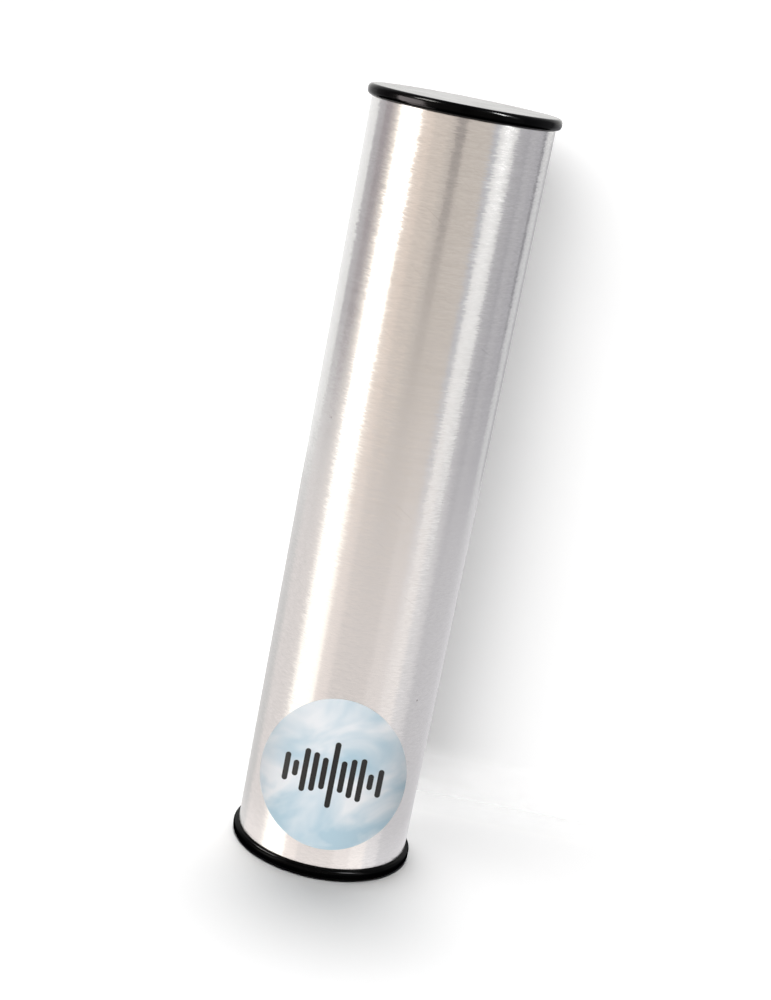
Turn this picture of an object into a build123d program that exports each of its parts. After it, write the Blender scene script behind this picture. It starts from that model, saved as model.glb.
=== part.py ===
from build123d import *

import os
from math import cos, hypot, radians, sin, sqrt, tan

# Tube shaker: a brushed aluminium tube, closed at each end by a push-in plastic cap, with loose shot inside.
# Millimetres, +Z up along the tube. The origin is the centre of the lower cap's outer face, on which the
# shaker stands. The label faces -Y.

# Tube
tube_diameter = 50.8
tube_wall = 1.5
tube_length = 215.9
tube_edge_break = 0.3

# End caps, two alike
flange_diameter = 53.6
flange_thickness = 3.2
flange_edge_radius = 1.3
plug_depth = 13.0
plug_wall = 1.8
barb_count = 3
barb_height = 0.7
barb_width = 2.4
barb_land = 0.5
barb_first_offset = 2.6
barb_pitch = 3.4
plug_fit_clearance = 0.05
plug_mouth_chamfer = 0.6

# Steel shot, which lies in hexagonal layers on the lower cap
shot_diameter = 5.0
shot_gap = 0.15
shot_layers = 4
shot_wall_clearance = 0.3

# Label, an oval sticker bent round the tube, cut so that it looks regular from a little above
label_width = 42.4
label_height = 46.4
label_view_slope = 21.2
label_thickness = 0.14
label_adhesive = 0.02
label_centre_above_tube_end = 29.1

# Places that follow from the sizes above
tube_radius = tube_diameter / 2
bore_radius = tube_radius - tube_wall
tube_foot = flange_thickness
tube_top = tube_foot + tube_length
overall_height = tube_top + flange_thickness
barb_radius = bore_radius - plug_fit_clearance
plug_radius = barb_radius - barb_height
cup_radius = plug_radius - plug_wall
label_radius = tube_radius + label_adhesive
label_centre = tube_foot + label_centre_above_tube_end


def make_tube():
    """Plain tube with its sharp end edges broken."""
    from_foot = (Align.CENTER, Align.CENTER, Align.MIN)
    wall = Cylinder(tube_radius, tube_length, align=from_foot)
    wall -= Cylinder(bore_radius, tube_length, align=from_foot)
    wall = chamfer(wall.edges().filter_by(GeomType.CIRCLE), tube_edge_break)
    return Pos(0, 0, tube_foot) * wall


def barb_outline(back):
    """Section of one barb: a square back towards the flange, and a slope that lets the plug slide in."""
    return make_face(
        Polyline(
            (plug_radius - plug_wall / 2, back),
            (barb_radius, back),
            (barb_radius, back + barb_land),
            (plug_radius, back + barb_width),
            (plug_radius - plug_wall / 2, back + barb_width),
            close=True,
        )
    )


def make_cap():
    """Lower cap: a round-edged flange over the tube's end, and a hollow barbed plug that grips the bore."""
    flange_radius = flange_diameter / 2
    plug_end = flange_thickness + plug_depth
    flange = make_face(
        Polyline(
            (0, 0),
            (flange_radius, 0),
            (flange_radius, flange_thickness),
            (0, flange_thickness),
            close=True,
        )
    )
    flange = fillet(flange.vertices().group_by(Axis.X)[-1], flange_edge_radius)
    skirt = make_face(
        Polyline(
            (cup_radius, flange_thickness / 2),
            (plug_radius, flange_thickness / 2),
            (plug_radius, plug_end - plug_mouth_chamfer),
            (plug_radius - plug_mouth_chamfer, plug_end),
            (cup_radius, plug_end),
            close=True,
        )
    )
    section = flange + skirt
    for barb in range(barb_count):
        section += barb_outline(flange_thickness + barb_first_offset + barb * barb_pitch)
    return revolve(Plane.XZ * section, axis=Axis.Z)


def make_upper_cap():
    """The lower cap turned over, on the tube's other end."""
    return Pos(0, 0, overall_height) * Rot(180, 0, 0) * make_cap()


def make_label():
    """Thin sticker: an oval projected down on to the tube's front skin, then thickened outwards."""
    slope = radians(label_view_slope)
    drawn_above = (tube_diameter - label_radius) * tan(slope)
    drawing = Plane(origin=(0, -tube_diameter, label_centre + drawn_above), x_dir=(1, 0, 0), z_dir=(0, -1, 0))
    oval = drawing * Ellipse(label_width / 2, label_height / 2)
    stamp = extrude(oval, amount=tube_diameter / cos(slope), dir=(0, cos(slope), -sin(slope)))
    skin = Pos(0, 0, overall_height / 2) * Cylinder(label_radius, overall_height)
    patch = skin.faces().filter_by(GeomType.CYLINDER)[0] & stamp
    return thicken(patch.faces()[0], label_thickness)


def shot_centres(layer):
    """Centres of one hexagonal layer. Odd layers lie in the hollows of the even ones."""
    pitch = shot_diameter + shot_gap
    row_step = pitch * sqrt(3) / 2
    limit = cup_radius - shot_wall_clearance - shot_diameter / 2
    height = flange_thickness + shot_wall_clearance + shot_diameter / 2 + layer * pitch * sqrt(2 / 3)
    shift_x, shift_y = (pitch / 2, pitch / (2 * sqrt(3))) if layer % 2 else (0, 0)
    reach = int(limit / row_step) + 2
    for row in range(-reach, reach + 1):
        for column in range(-2 * reach, 2 * reach + 1):
            x = (column + row / 2) * pitch + shift_x
            y = row * row_step + shift_y
            if hypot(x, y) <= limit:
                yield x, y, height


def make_shot_layer(layer):
    """One layer of loose balls, each a solid of its own."""
    return Compound(children=[Pos(*centre) * Sphere(shot_diameter / 2) for centre in shot_centres(layer)])


def main():
    os.makedirs("parts", exist_ok=True)
    nodes = {
        "tube": make_tube(),
        "lower_cap": make_cap(),
        "upper_cap": make_upper_cap(),
        "label": make_label(),
    }
    for layer in range(shot_layers):
        nodes[f"shot_layer_{layer + 1}"] = make_shot_layer(layer)
    for name, shape in nodes.items():
        export_step(shape, f"parts/{name}.step")


main()
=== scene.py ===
import math

import bmesh
import bpy
from mathutils import Matrix, Vector


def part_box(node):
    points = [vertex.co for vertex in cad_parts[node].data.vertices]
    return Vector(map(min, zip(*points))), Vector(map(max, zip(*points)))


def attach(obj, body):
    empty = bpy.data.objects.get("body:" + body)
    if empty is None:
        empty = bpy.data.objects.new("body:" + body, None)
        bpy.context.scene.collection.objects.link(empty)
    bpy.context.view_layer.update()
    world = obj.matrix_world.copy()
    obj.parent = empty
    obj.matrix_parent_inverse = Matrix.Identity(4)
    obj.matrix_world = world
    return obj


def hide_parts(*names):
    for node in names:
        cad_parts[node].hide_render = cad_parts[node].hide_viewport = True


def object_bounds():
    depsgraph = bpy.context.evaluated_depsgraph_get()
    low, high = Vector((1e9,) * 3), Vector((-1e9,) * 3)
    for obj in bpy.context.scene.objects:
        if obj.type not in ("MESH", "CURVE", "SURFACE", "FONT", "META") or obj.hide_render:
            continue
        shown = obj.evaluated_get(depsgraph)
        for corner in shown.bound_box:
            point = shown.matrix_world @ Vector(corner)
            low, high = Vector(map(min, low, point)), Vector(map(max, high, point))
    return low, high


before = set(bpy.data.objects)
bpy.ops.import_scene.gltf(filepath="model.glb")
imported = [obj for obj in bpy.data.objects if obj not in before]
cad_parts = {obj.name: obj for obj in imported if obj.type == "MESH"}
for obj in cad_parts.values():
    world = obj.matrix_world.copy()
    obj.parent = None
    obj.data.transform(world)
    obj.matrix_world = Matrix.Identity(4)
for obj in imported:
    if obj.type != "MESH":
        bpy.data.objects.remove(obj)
cadLow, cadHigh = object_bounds()
print("frame loaded:", ", ".join(sorted(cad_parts)))

scene = bpy.context.scene
scene.view_settings.view_transform = "Standard"


# node helpers, for shader trees and geometry trees alike
def put(tree, kind, feeds=None, **settings):
    node = tree.nodes.new(kind)
    for name, value in settings.items():
        setattr(node, name, value)
    for key, value in (feeds or {}).items():
        if isinstance(value, bpy.types.NodeSocket):
            tree.links.new(value, node.inputs[key])
        else:
            node.inputs[key].default_value = value
    return node


def maths(tree, operation, *terms):
    return put(tree, "ShaderNodeMath", dict(enumerate(terms)), operation=operation).outputs[0]


def vectors(tree, operation, *terms):
    return put(tree, "ShaderNodeVectorMath", dict(enumerate(terms)), operation=operation).outputs[0]


def lengthen(tree, arrow, scale):
    return put(tree, "ShaderNodeVectorMath", {0: arrow, "Scale": scale}, operation="SCALE").outputs[0]


# sockets 6, 7 and 2 are the colour ones of a Mix node
def mixColours(tree, share, first, second, blend="MIX"):
    feeds = {0: share, 6: first, 7: second}
    return put(tree, "ShaderNodeMix", feeds, data_type="RGBA", blend_type=blend).outputs[2]


def ramp(tree, value, low, high, fromLow=0.0, fromHigh=1.0):
    feeds = {"Value": value, "From Min": fromLow, "From Max": fromHigh, "To Min": low, "To Max": high}
    return put(tree, "ShaderNodeMapRange", feeds).outputs[0]


def newMaterial(name):
    material = bpy.data.materials.new(name)
    material.use_nodes = True
    tree = material.node_tree
    return material, tree, tree.nodes["Principled BSDF"]


# object coordinates counted in grains: a grain's size along x, y and z is in metres
def grainPlace(tree, size, turn=(0, 0, 0), shift=(0, 0, 0)):
    place = put(tree, "ShaderNodeTexCoord").outputs["Object"]
    feeds = {"Vector": place, "Location": shift, "Rotation": turn, "Scale": size}
    return put(tree, "ShaderNodeMapping", feeds, vector_type="TEXTURE").outputs[0]


def noise(tree, place, detail=3.0, roughness=0.5, distortion=0.0):
    feeds = {"Vector": place, "Scale": 1.0, "Detail": detail,
             "Roughness": roughness, "Distortion": distortion}
    return put(tree, "ShaderNodeTexNoise", feeds).outputs[0]


def newShapeTree(name, sizes):
    tree = bpy.data.node_groups.new(name, "GeometryNodeTree")
    tree.interface.new_socket("Geometry", in_out="OUTPUT", socket_type="NodeSocketGeometry")
    for label, kind in sizes.items():
        tree.interface.new_socket(label, in_out="INPUT", socket_type="NodeSocket" + kind)
    return tree, tree.nodes.new("NodeGroupInput").outputs, tree.nodes.new("NodeGroupOutput")


def endShapeTree(tree, shape, finish, sink):
    whole = put(tree, "GeometryNodeRealizeInstances", {"Geometry": shape}).outputs[0]
    dressed = put(tree, "GeometryNodeSetMaterial", {"Geometry": whole, "Material": finish}).outputs[0]
    tree.links.new(dressed, sink.inputs[0])


# runs a tree once, with its named inputs, and keeps the result as a plain mesh
def growPiece(name, tree, values):
    piece = bpy.data.objects.new(name, bpy.data.meshes.new(name))
    scene.collection.objects.link(piece)
    grower = piece.modifiers.new("grow", "NODES")
    grower.node_group = tree
    for item in tree.interface.items_tree:
        if item.in_out == "INPUT":
            grower[item.identifier] = values[item.name]
    graph = bpy.context.evaluated_depsgraph_get()
    grown = bpy.data.meshes.new_from_object(piece.evaluated_get(graph), depsgraph=graph)
    piece.modifiers.remove(grower)
    piece.data = grown
    grown.name = name
    return piece


def sharpEdges(tree, shape, limit):
    angle = put(tree, "GeometryNodeInputMeshEdgeAngle").outputs["Unsigned Angle"]
    bent = put(tree, "FunctionNodeCompare", {"A": angle, "B": limit}, operation="GREATER_THAN").outputs[0]
    feeds = {"Geometry": shape, "Selection": bent, "Shade Smooth": False}
    return put(tree, "GeometryNodeSetShadeSmooth", feeds, domain="EDGE").outputs[0]


weldDistance = 1e-7      # metres, within which points of a seam are one


def pointOutwards(piece):
    shell = bmesh.new()
    shell.from_mesh(piece.data)
    bmesh.ops.remove_doubles(shell, verts=shell.verts, dist=weldDistance)
    bmesh.ops.recalc_face_normals(shell, faces=shell.faces)
    shell.to_mesh(piece.data)
    shell.free()


def finishPiece(piece, body, slot, *nodes):
    pointOutwards(piece)
    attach(piece, body)
    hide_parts(*nodes)
    print(piece.name, "made:", len(piece.data.polygons), "faces")


# brushed aluminium: fine lines run round the tube, and each line leans a little its own way.
# in each finish, a span is the stretch of a noise over which something goes from one value to another
brushFinish = {
    "colour": (0.7, 0.689, 0.676, 1),
    "anisotropy": 0.8,
    "grainTurn": 0.25,         # of a full turn, so that reflections stretch along the tube
    "lineSpan": (0.25, 0.75),
    "fineLine": (0.002, 0.002, 0.00034),       # metres: long round the tube, fine along it
    "fineShade": (-0.06, 0.06),
    "broadLine": (0.03, 0.03, 0.0012),
    "broadShade": (0.985, 1.015),
    "broadRoughness": (0.2, 0.25),
    "tooth": (0.0024, 0.0024, 0.0003),
    "toothShift": (0.2, 0.1, 0.3),
    "toothLean": 0.06,         # sideways lean of the lines, which roughens the edges of reflections
    "lineLean": 0.12,          # lean along the tube, which smears reflections lengthwise
    "smudge": (0.035, 0.035, 0.06),
    "smudgeSpan": (0.3, 0.7),
    "smudgeShade": (-0.015, 0.015),
    "smudgeRoughness": (-0.01, 0.02),
    "greaseSpan": (0.35, 0.7),
    "uneven": (0.25, 1.75),    # by which the sideways lean changes from place to place
    "unevenSpan": (0.38, 0.66),
    "hairline": (0.012, 0.05, 0.00018),        # a few thin scratches across the grain
    "hairlineTurn": (0, 0.62, 0),
    "hairlineShare": 0.3,
    "hairlineSpan": (0.83, 0.87),
    "speckGap": 0.0065,
    "speckRadius": 0.05,       # of the gap
    "speckSpan": (0.72, 1),
    "mark": (0.42, 0.4, 0.385, 1),
}


def aluminiumMarks(tree):
    line = noise(tree, grainPlace(tree, brushFinish["hairline"], brushFinish["hairlineTurn"]), detail=0)
    scratch = ramp(tree, line, 0, brushFinish["hairlineShare"], *brushFinish["hairlineSpan"])
    gap = brushFinish["speckGap"]
    cells = put(tree, "ShaderNodeTexVoronoi", {"Vector": grainPlace(tree, (gap, gap, gap)), "Scale": 1.0})
    chance = put(tree, "ShaderNodeSeparateColor", {0: cells.outputs["Color"]}).outputs[0]
    size = ramp(tree, chance, 0, brushFinish["speckRadius"], *brushFinish["speckSpan"])
    speck = maths(tree, "LESS_THAN", cells.outputs["Distance"], size)
    return maths(tree, "MAXIMUM", scratch, speck)


def brushedAluminium():
    material, tree, shader = newMaterial("brushedAluminium")
    fine = noise(tree, grainPlace(tree, brushFinish["fineLine"]), detail=2, roughness=0.6)
    broad = noise(tree, grainPlace(tree, brushFinish["broadLine"]), detail=2)
    tooth = noise(tree, grainPlace(tree, brushFinish["tooth"], shift=brushFinish["toothShift"]), detail=1)
    smudge = noise(tree, grainPlace(tree, brushFinish["smudge"]), detail=4, roughness=0.6, distortion=0.6)
    streaks = ramp(tree, broad, *brushFinish["broadShade"], *brushFinish["lineSpan"])
    lines = ramp(tree, fine, *brushFinish["fineShade"], *brushFinish["lineSpan"])
    shade = maths(tree, "ADD", lines, streaks)
    stain = ramp(tree, smudge, *brushFinish["smudgeShade"], *brushFinish["smudgeSpan"])
    shade = maths(tree, "ADD", shade, stain)
    tint = put(tree, "ShaderNodeCombineColor", {0: shade, 1: shade, 2: shade}).outputs[0]
    colour = mixColours(tree, 1.0, brushFinish["colour"], tint, "MULTIPLY")
    colour = mixColours(tree, aluminiumMarks(tree), colour, brushFinish["mark"])
    around = put(tree, "ShaderNodeTangent", direction_type="RADIAL", axis="Z").outputs[0]
    facing = put(tree, "ShaderNodeNewGeometry").outputs["Normal"]
    uneven = ramp(tree, smudge, *brushFinish["uneven"], *brushFinish["unevenSpan"])
    sideways = maths(tree, "MULTIPLY", maths(tree, "SUBTRACT", tooth, 0.5), brushFinish["toothLean"] * 2)
    sideways = maths(tree, "MULTIPLY", sideways, uneven)
    lengthwise = maths(tree, "MULTIPLY", maths(tree, "SUBTRACT", fine, 0.5), brushFinish["lineLean"] * 2)
    leanAlong = put(tree, "ShaderNodeCombineXYZ", {"Z": lengthwise}).outputs[0]
    leaning = vectors(tree, "ADD", facing, lengthen(tree, around, sideways))
    leaning = vectors(tree, "ADD", leaning, leanAlong)
    leaning = vectors(tree, "NORMALIZE", leaning)
    worn = ramp(tree, broad, *brushFinish["broadRoughness"], *brushFinish["smudgeSpan"])
    grease = ramp(tree, smudge, *brushFinish["smudgeRoughness"], *brushFinish["greaseSpan"])
    worn = maths(tree, "ADD", worn, grease)
    tree.links.new(colour, shader.inputs["Base Color"])
    tree.links.new(worn, shader.inputs["Roughness"])
    tree.links.new(leaning, shader.inputs["Normal"])
    tree.links.new(around, shader.inputs["Tangent"])
    shader.inputs["Metallic"].default_value = 1.0
    shader.inputs["Anisotropic"].default_value = brushFinish["anisotropy"]
    shader.inputs["Anisotropic Rotation"].default_value = brushFinish["grainTurn"]
    return material


# moulded plastic, glossy, with table scuffs on the flat ends that it stands on
plasticFinish = {
    "colour": (0.0005, 0.0005, 0.0006, 1),
    "hazed": (0.0018, 0.0018, 0.0019, 1),
    "scuffed": (0.034, 0.034, 0.035, 1),
    "specular": 0.04,
    "haze": (0.009, 0.009, 0.009),
    "hazeSpan": (0.4, 0.75),
    "roughness": (0.12, 0.16),
    "roughSpan": (0.3, 0.7),
    "scuff": (0.018, 0.00016, 0.05),           # metres: long and thin
    "scuffTurns": (0.35, 1.3, 2.1, 2.85),
    "scuffShift": 0.1,         # metres for each radian of turn
    "scuffSpan": (0.7, 0.8),
    "scuffRoughness": 0.05,
    "patchSpan": (0.4, 0.6),   # of the haze, where scuffs come in patches
    "flatSpan": (0.9, 0.99),   # of the normal's height, on the flat ends
}


def glossBlack():
    material, tree, shader = newMaterial("glossBlackPlastic")
    haze = noise(tree, grainPlace(tree, plasticFinish["haze"]), detail=4, roughness=0.6)
    scuffs = 0.0
    for turn in plasticFinish["scuffTurns"]:
        shift = (plasticFinish["scuffShift"] * turn, 0, 0)
        line = noise(tree, grainPlace(tree, plasticFinish["scuff"], (0, 0, turn), shift), detail=1)
        scuffs = maths(tree, "MAXIMUM", scuffs, ramp(tree, line, 0, 1, *plasticFinish["scuffSpan"]))
    normal = put(tree, "ShaderNodeNewGeometry").outputs["Normal"]
    facing = put(tree, "ShaderNodeSeparateXYZ", {0: normal}).outputs[2]
    flatEnd = ramp(tree, maths(tree, "ABSOLUTE", facing), 0, 1, *plasticFinish["flatSpan"])
    scuffs = maths(tree, "MULTIPLY", scuffs, flatEnd)
    scuffs = maths(tree, "MULTIPLY", scuffs, ramp(tree, haze, 0, 1, *plasticFinish["patchSpan"]))
    hazed = ramp(tree, haze, 0, 1, *plasticFinish["hazeSpan"])
    colour = mixColours(tree, hazed, plasticFinish["colour"], plasticFinish["hazed"])
    colour = mixColours(tree, scuffs, colour, plasticFinish["scuffed"])
    rough = ramp(tree, haze, *plasticFinish["roughness"], *plasticFinish["roughSpan"])
    rough = maths(tree, "ADD", rough, maths(tree, "MULTIPLY", scuffs, plasticFinish["scuffRoughness"]))
    tree.links.new(colour, shader.inputs["Base Color"])
    tree.links.new(rough, shader.inputs["Roughness"])
    shader.inputs["Specular IOR Level"].default_value = plasticFinish["specular"]
    return material


# sticker: satin vinyl printed with soft clouds, and a row of charcoal level bars
printFinish = {
    "sky": (0.46, 0.615, 0.705, 1),
    "cloud": (0.84, 0.86, 0.885, 1),
    "ink": (0.01, 0.0095, 0.0093, 1),
    "paleRise": 2.4,           # share of the pale colour gained per metre, so the sticker is paler towards the top
    "specular": 0.35,
    "roughness": (0.34, 0.44),
    "cloudSize": (0.019, 0.013, 0.013),
    "cloudTurn": (0, 0, 0.5),
    "cloudSpan": (0.36, 0.62),
    "barPitch": 0.0027,
    "barHalfWidth": 0.00082,
    "barSoftness": 0.00006,
    "barCount": 5,             # bars each side of the middle one
    "barSwing": 1.15,          # radians of wave from bar to bar, which set their heights
    "barTaper": 2.5,           # bars beyond the last one at which the row would come to nothing
    "barLow": 0.0012,
    "barReach": 0.0082,
}


def stickerPrint():
    material, tree, shader = newMaterial("cloudySticker")
    place = put(tree, "ShaderNodeAttribute", attribute_name="printPlace").outputs["Vector"]
    feeds = {"Vector": place, "Scale": printFinish["cloudSize"], "Rotation": printFinish["cloudTurn"]}
    grains = put(tree, "ShaderNodeMapping", feeds, vector_type="TEXTURE").outputs[0]
    cloud = noise(tree, grains, detail=3, roughness=0.5, distortion=0.5)
    across, up, _ = put(tree, "ShaderNodeSeparateXYZ", {0: place}).outputs
    pale = maths(tree, "ADD", cloud, maths(tree, "MULTIPLY", up, printFinish["paleRise"]))
    clouded = ramp(tree, pale, 0, 1, *printFinish["cloudSpan"])
    colour = mixColours(tree, clouded, printFinish["sky"], printFinish["cloud"])
    bar = maths(tree, "ROUND", maths(tree, "DIVIDE", across, printFinish["barPitch"]))
    aside = maths(tree, "SUBTRACT", across, maths(tree, "MULTIPLY", bar, printFinish["barPitch"]))
    swing = maths(tree, "COSINE", maths(tree, "MULTIPLY", bar, printFinish["barSwing"]))
    swing = maths(tree, "ABSOLUTE", swing)
    fade = maths(tree, "DIVIDE", bar, printFinish["barCount"] + printFinish["barTaper"])
    fade = maths(tree, "SUBTRACT", 1.0, maths(tree, "ABSOLUTE", fade))
    tall = maths(tree, "MULTIPLY", maths(tree, "MULTIPLY", swing, fade), printFinish["barReach"])
    tall = maths(tree, "ADD", tall, printFinish["barLow"])
    beyond = maths(tree, "MAXIMUM", maths(tree, "SUBTRACT", maths(tree, "ABSOLUTE", up), tall), 0.0)
    squares = maths(tree, "MULTIPLY", aside, aside), maths(tree, "MULTIPLY", beyond, beyond)
    away = maths(tree, "SQRT", maths(tree, "ADD", *squares))
    half, soft = printFinish["barHalfWidth"], printFinish["barSoftness"]
    inside = ramp(tree, away, 1, 0, half - soft, half + soft)
    counted = maths(tree, "LESS_THAN", maths(tree, "ABSOLUTE", bar), printFinish["barCount"] + 0.5)
    printed = maths(tree, "MULTIPLY", inside, counted)
    tree.links.new(mixColours(tree, printed, colour, printFinish["ink"]), shader.inputs["Base Color"])
    tree.links.new(ramp(tree, cloud, *printFinish["roughness"]), shader.inputs["Roughness"])
    shader.inputs["Specular IOR Level"].default_value = printFinish["specular"]
    return material


# shot: steel balls, tumbled against each other
steelFinish = {
    "dull": (0.44, 0.44, 0.45, 1),
    "bright": (0.6, 0.6, 0.61, 1),
    "mark": (0.0014, 0.0014, 0.0014),
    "markSpan": (0.3, 0.7),
    "roughness": (0.18, 0.4),
}


def shotSteel():
    material, tree, shader = newMaterial("tumbledSteel")
    marks = noise(tree, grainPlace(tree, steelFinish["mark"]), detail=4)
    marked = ramp(tree, marks, 0, 1, *steelFinish["markSpan"])
    worn = mixColours(tree, marked, steelFinish["dull"], steelFinish["bright"])
    tree.links.new(worn, shader.inputs["Base Color"])
    shader.inputs["Metallic"].default_value = 1.0
    tree.links.new(ramp(tree, marks, *steelFinish["roughness"]), shader.inputs["Roughness"])
    return material


aluminium = brushedAluminium()
blackPlastic = glossBlack()
sticker = stickerPrint()
steel = shotSteel()
print("finishes mixed")

# tube: a rounded wall section swept round a circle
tubeLow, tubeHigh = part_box("tube")
tubeSizes = {
    "Outer radius": (tubeHigh.x - tubeLow.x) / 2,
    "Wall": 0.0015,
    "Length": tubeHigh.z - tubeLow.z,
    "Middle height": (tubeHigh.z + tubeLow.z) / 2,
    "Edge round": 0.0003,
    "Edge steps": 3,
    "Segments": 256,
    "Sharp angle": math.radians(8),
    "Finish": aluminium,
}


def makeTube():
    tree, sizes, sink = newShapeTree("drawnTube", {
        "Outer radius": "Float", "Wall": "Float", "Length": "Float", "Middle height": "Float",
        "Edge round": "Float", "Edge steps": "Int", "Segments": "Int", "Sharp angle": "Float",
        "Finish": "Material"})
    half = maths(tree, "MULTIPLY", sizes["Wall"], 0.5)
    middle = maths(tree, "SUBTRACT", sizes["Outer radius"], half)
    path = put(tree, "GeometryNodeCurvePrimitiveCircle",
               {"Resolution": sizes["Segments"], "Radius": middle})
    wall = put(tree, "GeometryNodeCurvePrimitiveQuadrilateral",
               {"Width": sizes["Wall"], "Height": sizes["Length"]})
    feeds = {"Curve": wall.outputs[0], "Count": sizes["Edge steps"], "Radius": sizes["Edge round"]}
    eased = put(tree, "GeometryNodeFilletCurve", feeds, mode="POLY")
    ring = put(tree, "GeometryNodeCurveToMesh",
               {"Curve": path.outputs[0], "Profile Curve": eased.outputs[0]})
    lift = put(tree, "ShaderNodeCombineXYZ", {"Z": sizes["Middle height"]}).outputs[0]
    placed = put(tree, "GeometryNodeTransform", {"Geometry": ring.outputs[0], "Translation": lift})
    endShapeTree(tree, sharpEdges(tree, placed.outputs[0], sizes["Sharp angle"]), sizes["Finish"], sink)
    return growPiece("brushedTube", tree, tubeSizes)


brushedTube = makeTube()
finishPiece(brushedTube, "case", "brushed_aluminium", "tube")

# end caps: one turned section, used at the foot and, turned over, at the top
capSizes = {
    "flangeRadius": 0.0268,
    "flangeThickness": 0.0032,
    "edgeRound": 0.0013,
    "plugRadius": 0.02315,
    "plugDepth": 0.013,
    "plugWall": 0.0018,
    "mouthChamfer": 0.0006,
    "barbRadius": 0.02385,
    "barbBacks": (0.0026, 0.006, 0.0094),      # above the flange
    "barbLand": 0.0005,
    "barbWidth": 0.0024,
    "arcSteps": 10,
    "segments": 224,
    "supportGap": 0.00012,     # from a round edge to the ring beside it, which keeps the flats flat
    "faceRing": 0.5,           # of the radius, for a ring half way across each flat
    "sharpAngle": math.radians(25),
}


def capSection():
    radius, thick, edge = capSizes["flangeRadius"], capSizes["flangeThickness"], capSizes["edgeRound"]
    gap, steps, plug = capSizes["supportGap"], capSizes["arcSteps"], capSizes["plugRadius"]
    mouth, cup = thick + capSizes["plugDepth"], plug - capSizes["plugWall"]
    barb, chamfer, ring = capSizes["barbRadius"], capSizes["mouthChamfer"], capSizes["faceRing"]
    section = [(0, 0), (radius * ring, 0), (radius - edge - gap, 0)]
    for step in range(steps + 1):
        turn = math.pi / 2 * step / steps
        section.append((radius - edge + edge * math.sin(turn), edge - edge * math.cos(turn)))
    section += [(radius, edge + gap), (radius, thick - edge - gap)]
    for step in range(steps + 1):
        turn = math.pi / 2 * step / steps
        section.append((radius - edge + edge * math.cos(turn), thick - edge + edge * math.sin(turn)))
    section += [(radius - edge - gap, thick), (plug, thick)]
    for back in capSizes["barbBacks"]:
        foot = thick + back
        land, front = foot + capSizes["barbLand"], foot + capSizes["barbWidth"]
        section += [(plug, foot), (barb, foot), (barb, land), (plug, front)]
    section += [(plug, mouth - chamfer), (plug - chamfer, mouth), (cup, mouth)]
    section += [(cup, thick), (cup * ring, thick), (0, thick)]
    return section


def makeCap(name, turnedOver):
    shell = bmesh.new()
    count = capSizes["segments"]
    turns = [2 * math.pi * step / count for step in range(count)]
    rings = []
    for radius, height in capSection():
        height = cadHigh.z - height if turnedOver else height
        spots = [(radius * math.cos(turn), radius * math.sin(turn), height) for turn in turns]
        if radius == 0:
            spots = [(0, 0, height)]
        rings.append([shell.verts.new(spot) for spot in spots])
    for near, far in zip(rings, rings[1:]):
        for step in range(count):
            after = (step + 1) % count
            corners = [near[step % len(near)], near[after % len(near)]]
            corners += [far[after % len(far)], far[step % len(far)]]
            shell.faces.new(list(dict.fromkeys(corners)))
    bmesh.ops.recalc_face_normals(shell, faces=shell.faces)
    for face in shell.faces:
        face.smooth = True
    for edge in shell.edges:
        edge.smooth = edge.calc_face_angle(0) < capSizes["sharpAngle"]
    data = bpy.data.meshes.new(name)
    shell.to_mesh(data)
    shell.free()
    data.materials.append(blackPlastic)
    cap = bpy.data.objects.new(name, data)
    scene.collection.objects.link(cap)
    return cap


lowerEndCap = makeCap("lowerEndCap", False)
upperEndCap = makeCap("upperEndCap", True)
finishPiece(lowerEndCap, "case", "cap_plastic", "lower_cap")
finishPiece(upperEndCap, "case", "cap_plastic", "upper_cap")

# sticker: a thin oval sheet bent round the tube, cut lower towards its sides
labelLow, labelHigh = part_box("label")
labelGap = 0.00002       # metres of adhesive
labelSheet = 0.00014
labelSlope = 21.2        # degrees, of the sight line along which the cut looks round
labelInner = tubeSizes["Outer radius"] + labelGap
labelSizes = {
    "Half width": labelHigh.x * labelInner / (labelInner + labelSheet),
    "Half height": (labelHigh.z - labelLow.z) / 2,
    "Middle height": (labelHigh.z + labelLow.z) / 2,
    "Inner radius": labelInner,
    "Sheet": labelSheet,
    "Side drop": math.tan(math.radians(labelSlope)),
    "Cells": 65,
    "Weld": 1e-6,
    "Sharp angle": math.radians(40),
    "Finish": sticker,
}


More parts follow.
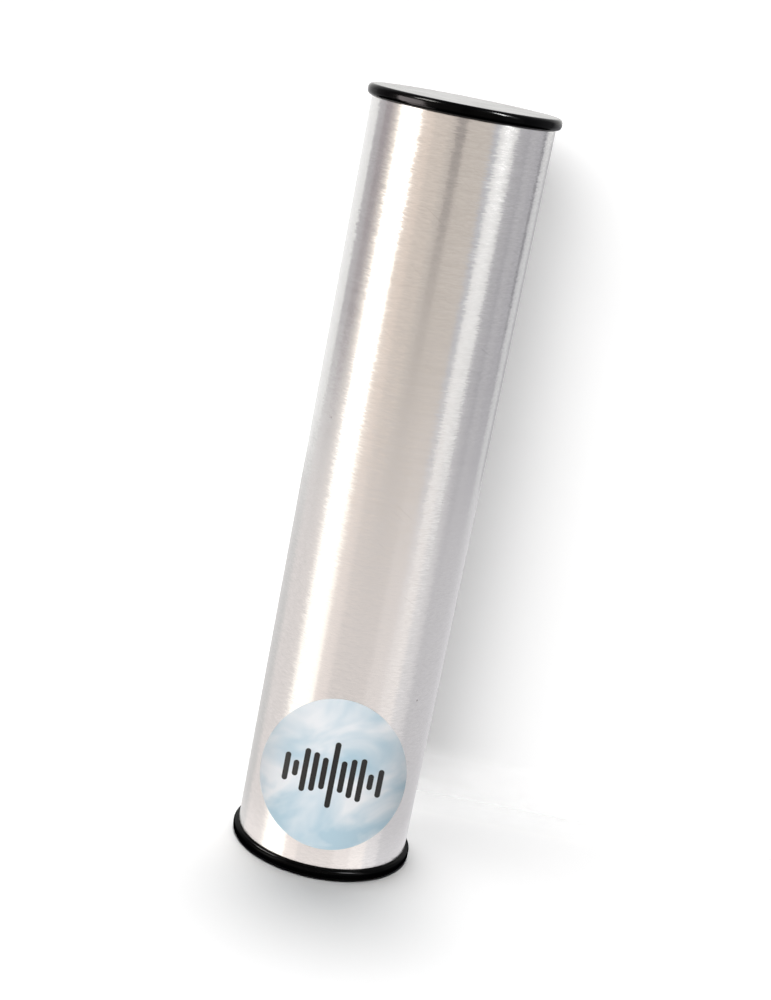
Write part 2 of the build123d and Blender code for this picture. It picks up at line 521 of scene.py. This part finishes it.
def makeLabel():
    tree, sizes, sink = newShapeTree("bentSticker", {
        "Half width": "Float", "Half height": "Float", "Middle height": "Float", "Inner radius": "Float",
        "Sheet": "Float", "Side drop": "Float", "Cells": "Int", "Weld": "Float", "Sharp angle": "Float",
        "Finish": "Material"})
    # a square grid is pressed into a disc, then into the flat oval
    feeds = {"Size X": 2.0, "Size Y": 2.0, "Vertices X": sizes["Cells"], "Vertices Y": sizes["Cells"]}
    grid = put(tree, "GeometryNodeMeshGrid", feeds).outputs["Mesh"]
    here = put(tree, "GeometryNodeInputPosition").outputs[0]
    across, up, _ = put(tree, "ShaderNodeSeparateXYZ", {0: here}).outputs
    squareAcross = maths(tree, "MULTIPLY", across, across)
    squareUp = maths(tree, "MULTIPLY", up, up)
    roundX = maths(tree, "SQRT", maths(tree, "SUBTRACT", 1.0, maths(tree, "MULTIPLY", squareUp, 0.5)))
    roundY = maths(tree, "SQRT", maths(tree, "SUBTRACT", 1.0, maths(tree, "MULTIPLY", squareAcross, 0.5)))
    flatX = maths(tree, "MULTIPLY", maths(tree, "MULTIPLY", across, roundX), sizes["Half width"])
    flatY = maths(tree, "MULTIPLY", maths(tree, "MULTIPLY", up, roundY), sizes["Half height"])
    flat = put(tree, "ShaderNodeCombineXYZ", {0: flatX, 1: flatY}).outputs[0]
    feeds = {"Geometry": grid, "Name": "printPlace", "Value": flat}
    marked = put(tree, "GeometryNodeStoreNamedAttribute", feeds,
                 data_type="FLOAT_VECTOR", domain="POINT").outputs[0]
    # the flat oval goes on to the tube's front, and drops where the tube curves back
    flatPlace = put(tree, "GeometryNodeInputNamedAttribute", {"Name": "printPlace"},
                    data_type="FLOAT_VECTOR").outputs[0]
    x, y, _ = put(tree, "ShaderNodeSeparateXYZ", {0: flatPlace}).outputs
    radius = sizes["Inner radius"]
    squares = maths(tree, "MULTIPLY", radius, radius), maths(tree, "MULTIPLY", x, x)
    inward = maths(tree, "SQRT", maths(tree, "SUBTRACT", *squares))
    drop = maths(tree, "MULTIPLY", maths(tree, "SUBTRACT", radius, inward), sizes["Side drop"])
    height = maths(tree, "SUBTRACT", maths(tree, "ADD", sizes["Middle height"], y), drop)
    front = maths(tree, "MULTIPLY", inward, -1.0)
    bent = put(tree, "ShaderNodeCombineXYZ", {0: x, 1: front, 2: height}).outputs[0]
    skin = put(tree, "GeometryNodeSetPosition", {"Geometry": marked, "Position": bent}).outputs[0]
    # thickness: the upper skin moves out from the tube's axis, and the under skin closes the sheet
    raised = put(tree, "GeometryNodeExtrudeMesh", {"Mesh": skin, "Offset Scale": 0.0, "Individual": False})
    place = put(tree, "GeometryNodeInputPosition").outputs[0]
    out = vectors(tree, "NORMALIZE", vectors(tree, "MULTIPLY", place, (1, 1, 0)))
    out = lengthen(tree, out, sizes["Sheet"])
    feeds = {"Geometry": raised.outputs["Mesh"], "Selection": raised.outputs["Top"], "Offset": out}
    upper = put(tree, "GeometryNodeSetPosition", feeds).outputs[0]
    under = put(tree, "GeometryNodeFlipFaces", {"Mesh": skin}).outputs[0]
    both = tree.nodes.new("GeometryNodeJoinGeometry")
    tree.links.new(upper, both.inputs[0])
    tree.links.new(under, both.inputs[0])
    sheet = put(tree, "GeometryNodeMergeByDistance",
                {"Geometry": both.outputs[0], "Distance": sizes["Weld"]}).outputs[0]
    smooth = put(tree, "GeometryNodeSetShadeSmooth",
                 {"Geometry": sheet, "Shade Smooth": True}, domain="FACE").outputs[0]
    endShapeTree(tree, sharpEdges(tree, smooth, sizes["Sharp angle"]), sizes["Finish"], sink)
    return growPiece("roundSticker", tree, labelSizes)


roundSticker = makeLabel()
finishPiece(roundSticker, "case", "sticker", "label")

# shot: balls in hexagonal layers, every other layer lying in the hollows of the one below
shotSizes = {
    "Ball radius": 0.0025,
    "Pitch": 0.00515,
    "Reach": 0.01855,          # of ball centres from the axis
    "Slack": 1e-6,
    "Spread": 25,              # rows and columns, before those out of reach are taken away
    "Ball steps": 2,
    "Finish": steel,
}


def shotTree():
    tree, sizes, sink = newShapeTree("shotLayer", {
        "Ball radius": "Float", "Pitch": "Float", "Reach": "Float", "Slack": "Float", "Spread": "Int",
        "Ball steps": "Int", "Shift": "Float", "Height": "Float", "Finish": "Material"})
    span = maths(tree, "SUBTRACT", sizes["Spread"], 1.0)
    feeds = {"Size X": span, "Size Y": span, "Vertices X": sizes["Spread"], "Vertices Y": sizes["Spread"]}
    grid = put(tree, "GeometryNodeMeshGrid", feeds).outputs["Mesh"]
    spots = put(tree, "GeometryNodeMeshToPoints", {"Mesh": grid}).outputs[0]
    spot = put(tree, "GeometryNodeInputPosition").outputs[0]
    column, row, _ = put(tree, "ShaderNodeSeparateXYZ", {0: spot}).outputs
    shift = maths(tree, "MULTIPLY", sizes["Shift"], sizes["Pitch"])
    x = maths(tree, "ADD", column, maths(tree, "MULTIPLY", row, 0.5))
    x = maths(tree, "ADD", maths(tree, "MULTIPLY", x, sizes["Pitch"]), shift)
    y = maths(tree, "MULTIPLY", maths(tree, "MULTIPLY", row, sizes["Pitch"]), math.sqrt(3) / 2)
    y = maths(tree, "ADD", y, maths(tree, "MULTIPLY", shift, 1 / math.sqrt(3)))
    hexed = put(tree, "ShaderNodeCombineXYZ", {0: x, 1: y, 2: sizes["Height"]}).outputs[0]
    laid = put(tree, "GeometryNodeSetPosition", {"Geometry": spots, "Position": hexed}).outputs[0]
    place = put(tree, "GeometryNodeInputPosition").outputs[0]
    level = vectors(tree, "MULTIPLY", place, (1, 1, 0))
    far = put(tree, "ShaderNodeVectorMath", {0: level}, operation="LENGTH").outputs["Value"]
    outside = maths(tree, "GREATER_THAN", far, maths(tree, "ADD", sizes["Reach"], sizes["Slack"]))
    kept = put(tree, "GeometryNodeDeleteGeometry",
               {"Geometry": laid, "Selection": outside}, domain="POINT").outputs[0]
    ball = put(tree, "GeometryNodeMeshIcoSphere",
               {"Radius": sizes["Ball radius"], "Subdivisions": sizes["Ball steps"]}).outputs["Mesh"]
    ball = put(tree, "GeometryNodeSetShadeSmooth", {"Geometry": ball, "Shade Smooth": True}).outputs[0]
    balls = put(tree, "GeometryNodeInstanceOnPoints", {"Points": kept, "Instance": ball}).outputs[0]
    endShapeTree(tree, balls, sizes["Finish"], sink)
    return tree


layerTree = shotTree()
shotLayers = 4
for layer in range(shotLayers):
    node = f"shot_layer_{layer + 1}"
    layerLow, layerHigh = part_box(node)
    values = dict(shotSizes, Shift=0.5 * (layer % 2), Height=(layerLow.z + layerHigh.z) / 2)
    finishPiece(growPiece(f"shotLayer{layer + 1}", layerTree, values), "shot", "shot_steel", node)

# camera where the photograph was taken from
photoView = {
    "place": (0.0, -0.5054, 0.2444),
    "lens": 65.66,             # mm
    "sensor": 36,              # mm, along the long side of the frame
    "nearest": 0.01,
    "farthest": 100,
    "pitchDown": 15.106,
    "heading": 0.056,
    "roll": 11.177,
}


def makeCamera():
    data = bpy.data.cameras.new("photoCamera")
    data.lens = photoView["lens"]
    data.sensor_width = photoView["sensor"]
    data.clip_start = photoView["nearest"]
    data.clip_end = photoView["farthest"]
    camera = bpy.data.objects.new("photoCamera", data)
    scene.collection.objects.link(camera)
    aim = Matrix.Rotation(math.radians(photoView["heading"]), 4, "Z")
    aim = aim @ Matrix.Rotation(math.radians(90 - photoView["pitchDown"]), 4, "X")
    aim = aim @ Matrix.Rotation(math.radians(photoView["roll"]), 4, "Z")
    camera.matrix_world = Matrix.Translation(photoView["place"]) @ aim
    scene.camera = camera


makeCamera()

# stage: a white floor, backdrop and world, wide lamps, and the boxes and cards that shiny things reflect
studio = {
    "floorRadius": 12.0,
    "floorSegments": 96,
    "white": (0.87, 0.87, 0.87, 1),            # of the floor and the backdrop
    "worldLevel": 0.05,
    "backgroundLevel": 1.0,
    "backdropBehind": 0.031,   # the tube's axis
    "backdropHalfWidth": 0.5,
    "backdropFoot": 0.001,
    "backdropFade": (0.001, 0.026),            # heights between which it turns from clear to white
    "backdropLift": 0.32,      # its own glow, so that it is white where it is lit
    "backdropTop": 0.7,
    "cardStrip": 3,            # degrees from one line of a card to the next, or near it
}


def hideFrom(piece, *ways):
    for way in ways:
        setattr(piece, "visible_" + way, False)


def raySeen(tree):
    ray = put(tree, "ShaderNodeLightPath").outputs
    seen = maths(tree, "MAXIMUM", ray["Is Camera Ray"], ray["Is Glossy Ray"])
    return maths(tree, "MAXIMUM", seen, ray["Is Transmission Ray"])


def makeMatt(shader):
    shader.inputs["Base Color"].default_value = studio["white"]
    shader.inputs["Roughness"].default_value = 1.0
    shader.inputs["Specular IOR Level"].default_value = 0.0


def makeFloor():
    data = bpy.data.meshes.new("studioFloor")
    shell = bmesh.new()
    bmesh.ops.create_circle(shell, cap_ends=True, segments=studio["floorSegments"],
                            radius=studio["floorRadius"])
    shell.to_mesh(data)
    shell.free()
    floor = bpy.data.objects.new("studioFloor", data)
    scene.collection.objects.link(floor)
    material, _, shader = newMaterial("whiteFloor")
    makeMatt(shader)
    data.materials.append(material)
    hideFrom(floor, "diffuse")


# a white wall close behind, which takes the wall lamp's shadow along the whole tube. Only the camera sees
# it, its back is clear, and it fades out towards the floor
def makeBackdrop():
    half, behind = studio["backdropHalfWidth"], studio["backdropBehind"]
    foot, top = studio["backdropFoot"], studio["backdropTop"]
    data = bpy.data.meshes.new("backdrop")
    corners = [(-half, behind, foot), (half, behind, foot), (half, behind, top), (-half, behind, top)]
    data.from_pydata(corners, [], [(0, 1, 2, 3)])
    backdrop = bpy.data.objects.new("backdrop", data)
    scene.collection.objects.link(backdrop)
    material, tree, shader = newMaterial("whiteBackdrop")
    makeMatt(shader)
    shader.inputs["Emission Color"].default_value = (1, 1, 1, 1)
    shader.inputs["Emission Strength"].default_value = studio["backdropLift"]
    place = put(tree, "ShaderNodeTexCoord").outputs["Object"]
    height = put(tree, "ShaderNodeSeparateXYZ", {0: place}).outputs[2]
    faded = ramp(tree, height, 1, 0, *studio["backdropFade"])
    backSide = put(tree, "ShaderNodeNewGeometry").outputs["Backfacing"]
    clear = put(tree, "ShaderNodeBsdfTransparent").outputs[0]
    feeds = {0: maths(tree, "MAXIMUM", faded, backSide), 1: shader.outputs[0], 2: clear}
    oneSided = put(tree, "ShaderNodeMixShader", feeds).outputs[0]
    tree.links.new(oneSided, tree.nodes["Material Output"].inputs["Surface"])
    data.materials.append(material)
    hideFrom(backdrop, "diffuse", "glossy", "shadow", "transmission", "volume_scatter")
    return backdrop


def makeWorld():
    world = bpy.data.worlds.new("studioWorld")
    world.use_nodes = True
    tree = world.node_tree
    back = tree.nodes["Background"]
    back.inputs["Color"].default_value = (1, 1, 1, 1)
    level = ramp(tree, raySeen(tree), studio["worldLevel"], studio["backgroundLevel"])
    tree.links.new(level, back.inputs["Strength"])
    scene.world = world


makeFloor()
backdrop = makeBackdrop()
makeWorld()


def outFrom(bearing, distance=1.0):
    turn = math.radians(bearing)
    return Vector((math.sin(turn), -math.cos(turn), 0)) * distance


def lightOnly(lamp, pieces):
    if pieces:
        lit = bpy.data.collections.new(lamp.name + "Lit")
        for piece in pieces:
            lit.objects.link(piece)
        lamp.light_linking.receiver_collection = lit


# wide lamps for what is matt: bearing from the camera side in degrees, right is positive.
# the wall lamp's shadow falls on the backdrop, and those of the top and side lamps on the floor
suns = {
    "frontLamp": {"bearing": -3, "height": 30, "strength": 3.2, "spread": 42,
                  "onlyOn": (brushedTube, lowerEndCap, upperEndCap, roundSticker)},
    "wallLamp": {"bearing": -25, "height": 33, "strength": 3.0, "spread": 44, "onlyOn": (backdrop,)},
    "topLamp": {"bearing": -176, "height": 80, "strength": 2.5, "spread": 17, "onlyOn": ()},
    "sideLamp": {"bearing": -60, "height": 74, "strength": 1.25, "spread": 24, "onlyOn": ()},
}


def makeSun(name, sun):
    data = bpy.data.lights.new(name, "SUN")
    data.energy = sun["strength"]
    data.angle = math.radians(sun["spread"])
    lamp = bpy.data.objects.new(name, data)
    scene.collection.objects.link(lamp)
    place = outFrom(sun["bearing"]) + Vector((0, 0, math.tan(math.radians(sun["height"]))))
    lamp.matrix_world = Matrix.Translation(place) @ place.to_track_quat("Z", "Y").to_matrix().to_4x4()
    lamp.visible_glossy = False
    lightOnly(lamp, sun["onlyOn"])


# soft boxes, seen only by what is shiny: edges are (distance, height) in metres, radiance where 1 is white.
# those for the caps alone put the highlights on their round rims
softBoxes = {
    "rightBox": {"bearing": 61.6, "edges": ((0.9, 0.36), (0.9, 1.1)), "width": 0.135,
                 "radiance": 5.4, "colour": (0.97, 0.98, 1.0), "onlyOn": ()},
    "rightSpark": {"bearing": 52, "edges": ((0.42, 0.46), (0.42, 0.88)), "width": 0.055,
                   "radiance": 340, "colour": (1, 1, 1), "onlyOn": (upperEndCap,)},
    "rightHalo": {"bearing": 52, "edges": ((0.43, 0.48), (0.43, 0.88)), "width": 0.19,
                  "radiance": 16, "colour": (1, 1, 1), "onlyOn": (upperEndCap,)},
    "lowRightGlow": {"bearing": 57, "edges": ((0.43, 0.48), (0.43, 0.88)), "width": 0.16,
                     "radiance": 60, "colour": (0.97, 0.97, 1), "onlyOn": (lowerEndCap,)},
    "lowLeftLine": {"bearing": -121, "edges": ((0.42, 0.5), (0.42, 0.88)), "width": 0.1,
                    "radiance": 90, "colour": (1, 0.97, 0.95), "onlyOn": (lowerEndCap,)},
    "leftSpark": {"bearing": -54, "edges": ((0.42, 0.5), (0.42, 0.8)), "width": 0.2,
                  "radiance": 75, "colour": (1, 0.97, 0.93), "onlyOn": (upperEndCap,)},
    "leftPatch": {"bearing": -64, "edges": ((0.43, 0.0), (0.43, 0.28)), "width": 0.27,
                  "radiance": 38, "colour": (1, 0.9, 0.9), "onlyOn": (upperEndCap,)},
    "leftSheet": {"bearing": -66, "edges": ((0.16, 0.004), (0.42, 0.004)), "width": 0.13,
                  "radiance": 20, "colour": (1, 0.9, 0.89), "onlyOn": (upperEndCap,)},
}


def makeSoftBox(name, box):
    (nearDistance, nearHeight), (farDistance, farHeight) = box["edges"]
    near = outFrom(box["bearing"], nearDistance) + Vector((0, 0, nearHeight))
    far = outFrom(box["bearing"], farDistance) + Vector((0, 0, farHeight))
    data = bpy.data.lights.new(name, "AREA")
    data.shape = "RECTANGLE"
    data.size = box["width"]
    data.size_y = (far - near).length
    data.energy = box["radiance"] * math.pi * data.size * data.size_y
    data.color = box["colour"]
    lamp = bpy.data.objects.new(name, data)
    scene.collection.objects.link(lamp)
    across, along = outFrom(box["bearing"] + 90), (far - near).normalized()
    aim = Matrix((across, along, across.cross(along))).transposed().to_4x4()
    lamp.matrix_world = Matrix.Translation((near + far) / 2) @ aim
    lamp.visible_camera = False
    lamp.visible_diffuse = False
    lightOnly(lamp, box["onlyOn"])


# cards that only shiny things see: walls round the table, a ceiling, and a table sheet. A card's edges are
# distances and heights, each with a gain for its glow, and the glow fades from stop to stop.
# stops on a wall are bearings. On the table sheet they are angles round the tube, and each line of the
# sheet runs out from the tube the way that the tube reflects it to the camera, so its bands look straight
def wall(stops, distance=0.47, foot=0.0, top=0.9):
    edges = ((distance, foot, 1.0), (distance, top, 1.0))
    return {"edges": edges, "stops": stops, "fromTube": False, "onlyOn": ()}


def band(first, last, colour):
    return {first: colour, last: colour}


cards = {
    "leftWall": wall({
        **band(-124, -110, (0.6, 0.58, 0.6)),
        **band(-106, -97, (0.47, 0.425, 0.445)),
        -87: (0.84, 0.77, 0.73),
        -80: (1.5, 1.36, 1.22),
        **band(-75, -68, (2.9, 2.8, 2.68)),
        **band(-65, -54.5, (3.8, 3.65, 3.45)),
        -51: (1.9, 1.7, 1.53),
        -49: (1.35, 1.2, 1.08),
    }, distance=0.68, top=1.2),
    "frontWall": wall({
        **band(-49, -34, (0.97, 0.84, 0.75)),
        **band(-30, -14, (0.83, 0.74, 0.67)),
        **band(-10, 39, (0.74, 0.675, 0.62)),
        **band(41, 48, (0.62, 0.63, 0.68)),
    }),
    "cameraShade": wall(band(-4, 7, (0.34, 0.31, 0.3)), distance=0.45, foot=0.14, top=0.6),
    "rightWall": wall({
        **band(72, 87, (0.575, 0.57, 0.6)),
        **band(89, 92, (0.5, 0.495, 0.53)),
        **band(94, 106, (0.61, 0.605, 0.635)),
        **band(110, 130, (0.56, 0.555, 0.59)),
    }),
    "rightLine": wall(band(122, 126, (0.2, 0.2, 0.22)), distance=0.45, foot=0.09),
    "backWall": wall({**band(130, 147, (0.76, 0.76, 0.78)), **band(153, 178, (0.5, 0.5, 0.52))}, top=0.2),
    "backGlow": wall(band(135, 225, (1.28, 1.27, 1.25)), foot=0.225, top=0.4),
    "tableSheet": {
        "stops": {
            **band(-86, -67, (0.79, 0.78, 0.78)),
            **band(-63, -45.5, (1.0, 0.95, 0.94)),
            -41.5: (1.2, 1.14, 1.09),
            **band(-39, -25, (1.7, 1.62, 1.52)),
            **band(-22.5, -15.5, (1.1, 1.02, 0.99)),
            **band(-13.5, 9.5, (0.94, 0.885, 0.87)),
            **band(11.5, 21, (1.04, 0.98, 0.965)),
            **band(22, 31, (1.14, 1.08, 1.06)),
            **band(33, 41, (0.95, 0.93, 0.95)),
            **band(43.5, 86, (0.77, 0.76, 0.79)),
        },
        "edges": ((0.0016, 0.0004, 1.25), (0.035, 0.0004, 1.0), (0.46, 0.0004, 1.0)),
        "fromTube": True,
        "onlyOn": (brushedTube, roundSticker),
    },
    "ceiling": {
        "stops": band(-180, 180, (0.3, 0.3, 0.31)),
        "edges": ((0.001, 0.9, 1.0), (0.47, 0.9, 1.0)),
        "fromTube": False,
        "onlyOn": (),
    },
}


def cardGlow():
    material, tree, shader = newMaterial("cardGlow")
    glow = put(tree, "ShaderNodeAttribute", attribute_name="glow").outputs["Color"]
    tree.links.new(glow, shader.inputs["Emission Color"])
    shader.inputs["Emission Strength"].default_value = 1.0
    shader.inputs["Base Color"].default_value = (0, 0, 0, 1)
    shader.inputs["Specular IOR Level"].default_value = 0.0
    return material


def makeCard(name, card, finish):
    angles = sorted(card["stops"])
    edges = card["edges"]
    places, colours, faces = [], [], []
    for first, last in zip(angles, angles[1:]):
        steps = max(1, round((last - first) / studio["cardStrip"]))
        for step in range(steps + 1):
            angle = first + (last - first) * step / steps
            glow = Vector(card["stops"][first]).lerp(Vector(card["stops"][last]), step / steps)
            start = len(places)
            for distance, height, gain in edges:
                place = outFrom(angle, distance)
                if card["fromTube"]:
                    place = outFrom(angle, tubeSizes["Outer radius"]) + outFrom(2 * angle, distance)
                places.append(place + Vector((0, 0, height)))
                colours.append((*(glow * gain), 1.0))
            if step > 0:
                for at in range(start, len(places) - 1):
                    before = at - len(edges)
                    faces.append((before, at, at + 1, before + 1))
    data = bpy.data.meshes.new(name)
    data.from_pydata(places, [], faces)
    tint = data.color_attributes.new("glow", "FLOAT_COLOR", "POINT")
    for spot, colour in zip(tint.data, colours):
        spot.color = colour
    data.materials.append(finish)
    piece = bpy.data.objects.new(name, data)
    scene.collection.objects.link(piece)
    hideFrom(piece, "camera", "diffuse", "shadow", "transmission", "volume_scatter")
    lightOnly(piece, card["onlyOn"])


for name, sun in suns.items():
    makeSun(name, sun)
for name, box in softBoxes.items():
    makeSoftBox(name, box)
glowFinish = cardGlow()
for name, card in cards.items():
    makeCard(name, card, glowFinish)
print("studio lit")
